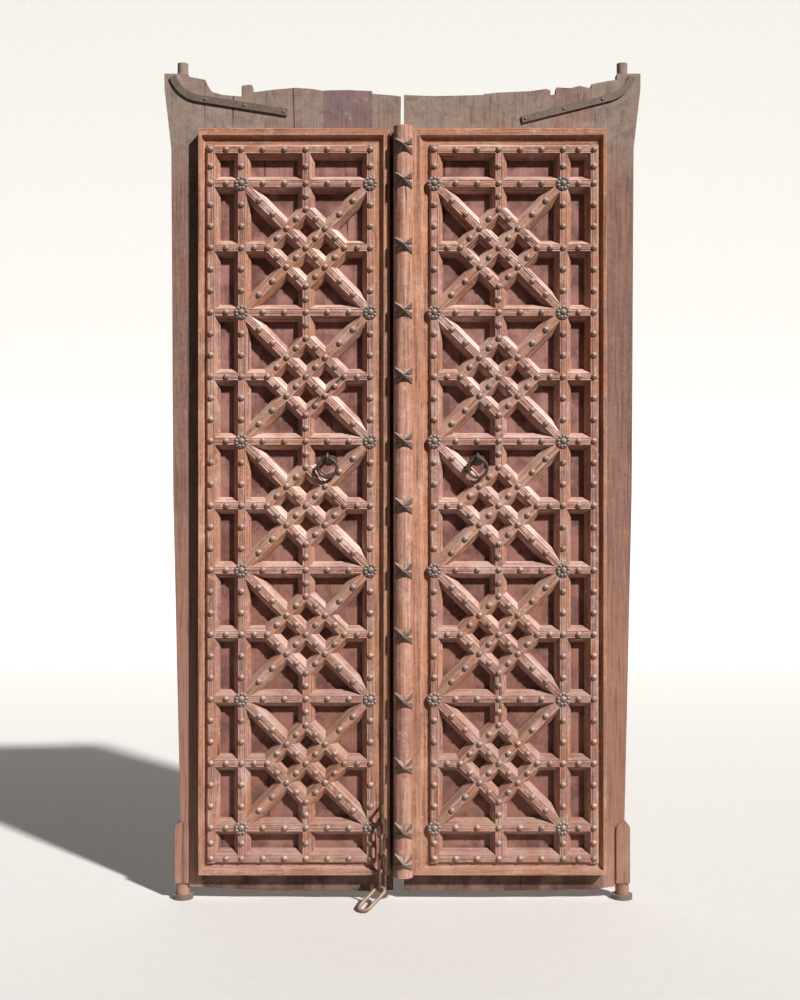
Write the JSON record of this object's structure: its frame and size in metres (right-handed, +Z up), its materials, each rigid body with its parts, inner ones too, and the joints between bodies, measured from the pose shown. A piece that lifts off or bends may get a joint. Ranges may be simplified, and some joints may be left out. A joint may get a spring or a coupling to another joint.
{
  "type": "carved temple door",
  "caption": "Pair of weathered plank door leaves on pivots, faced with a nailed lattice of crossing bars, with ring pulls and a door chain.",
  "frame": {"origin": "on the floor, midway between the two pivot axes and in their plane", "axes": "+Z up along the pivot axes, X along the closed door, the carved front faces -Y"},
  "size_m": [1.248, 0.1817, 2.196],
  "materials": {
    "border_timber": "weathered, dry, grey-brown",
    "moulding_timber": "weathered red ochre",
    "lattice_timber": "weathered red ochre, worn pale on the crowns",
    "pale_timber": "newer timber, raw",
    "back_timber": "raw, dusty",
    "stud_iron": "old iron, brown patina",
    "rosette_iron": "old iron, dark",
    "strap_iron": "old iron, grey-green patina",
    "pull_iron": "old iron, dark, worn bright",
    "chain_iron": "old iron, rusted"
  },
  "bodies": {
    "sill": {"pivot_cups": "strap_iron"},
    "left_leaf": {"left_pivot_stile": "border_timber", "left_plank_1": "border_timber", "left_plank_2": "border_timber", "left_plank_3": "border_timber", "left_ledges": "back_timber", "left_moulding_head": "moulding_timber", "left_moulding_foot": "moulding_timber", "left_moulding_side": "moulding_timber", "left_moulding_meeting": "moulding_timber", "left_uprights": "lattice_timber", "left_rails": "lattice_timber", "left_falling_bars": "lattice_timber", "left_rising_bars": "lattice_timber", "left_studs": "stud_iron", "left_rosettes": "rosette_iron", "left_pivot_post": "border_timber", "left_strap": "strap_iron", "left_strap_nails": "strap_iron", "left_pull_plate": "pull_iron", "left_foot_strip": "pale_timber", "chain_staple": "chain_iron"},
    "right_leaf": {"right_pivot_stile": "border_timber", "right_plank_1": "border_timber", "right_plank_2": "border_timber", "right_plank_3": "border_timber", "right_ledges": "back_timber", "right_moulding_head": "moulding_timber", "right_moulding_foot": "moulding_timber", "right_moulding_side": "moulding_timber", "right_moulding_meeting": "moulding_timber", "right_uprights": "lattice_timber", "right_rails": "lattice_timber", "right_falling_bars": "lattice_timber", "right_rising_bars": "lattice_timber", "right_studs": "stud_iron", "right_rosettes": "rosette_iron", "right_pivot_post": "border_timber", "right_strap": "strap_iron", "right_strap_nails": "strap_iron", "right_pull_plate": "pull_iron", "meeting_post": "moulding_timber", "post_heads": "stud_iron"},
    "left_pull_ring": {"left_ring": "pull_iron"},
    "right_pull_ring": {"right_ring": "pull_iron"},
    "link_1": {"chain_link_1": "chain_iron"},
    "link_2": {"chain_link_2": "chain_iron"},
    "link_3": {"chain_link_3": "chain_iron"},
    "link_4": {"chain_link_4": "chain_iron"},
    "hasp": {"hasp_loop": "chain_iron"}
  },
  "joints": [
    {"name": "left_leaf_swing", "type": "hinge", "parent": "sill", "child": "left_leaf", "pos_m": [-0.578, 0, 0.02], "axis": [0, 0, 1], "range_deg": [0, 100]},
    {"name": "right_leaf_swing", "type": "hinge", "parent": "sill", "child": "right_leaf", "pos_m": [0.578, 0, 0.02], "axis": [0, 0, 1], "range_deg": [-90, 0]},
    {"name": "left_ring_swing", "type": "hinge", "parent": "left_leaf", "child": "left_pull_ring", "pos_m": [-0.1945, -0.062, 1.157], "axis": [-1, 0, 0], "range_deg": [0, 100]},
    {"name": "right_ring_swing", "type": "hinge", "parent": "right_leaf", "child": "right_pull_ring", "pos_m": [0.1945, -0.062, 1.157], "axis": [-1, 0, 0], "range_deg": [0, 100]},
    {"name": "link_1_swing", "type": "hinge", "parent": "left_leaf", "child": "link_1", "pos_m": [-0.052, -0.074, 0.2208], "axis": [0, 1, 0], "range_deg": [0, 35]},
    {"name": "link_2_swing", "type": "hinge", "parent": "link_1", "child": "link_2", "pos_m": [-0.052, -0.074, 0.1751], "axis": [-1, 0, 0], "range_deg": [0, 14]},
    {"name": "link_3_swing", "type": "hinge", "parent": "link_2", "child": "link_3", "pos_m": [-0.052, -0.074, 0.1294], "axis": [0.2588, 0.9659, 0], "range_deg": [0, 8]},
    {"name": "link_4_swing", "type": "hinge", "parent": "link_3", "child": "link_4", "pos_m": [-0.052, -0.074, 0.0837], "axis": [-0.866, 0.5, 0], "range_deg": [0, 14]},
    {"name": "hasp_lift", "type": "hinge", "parent": "link_4", "child": "hasp", "pos_m": [-0.052, -0.074, 0.04705], "axis": [-0.7071, 0.7071, 0], "range_deg": [0, 60]}
  ],
  "couplings": [
    {"joint": "right_leaf_swing", "follows": "left_leaf_swing", "ratio": -0.9}
  ]
}
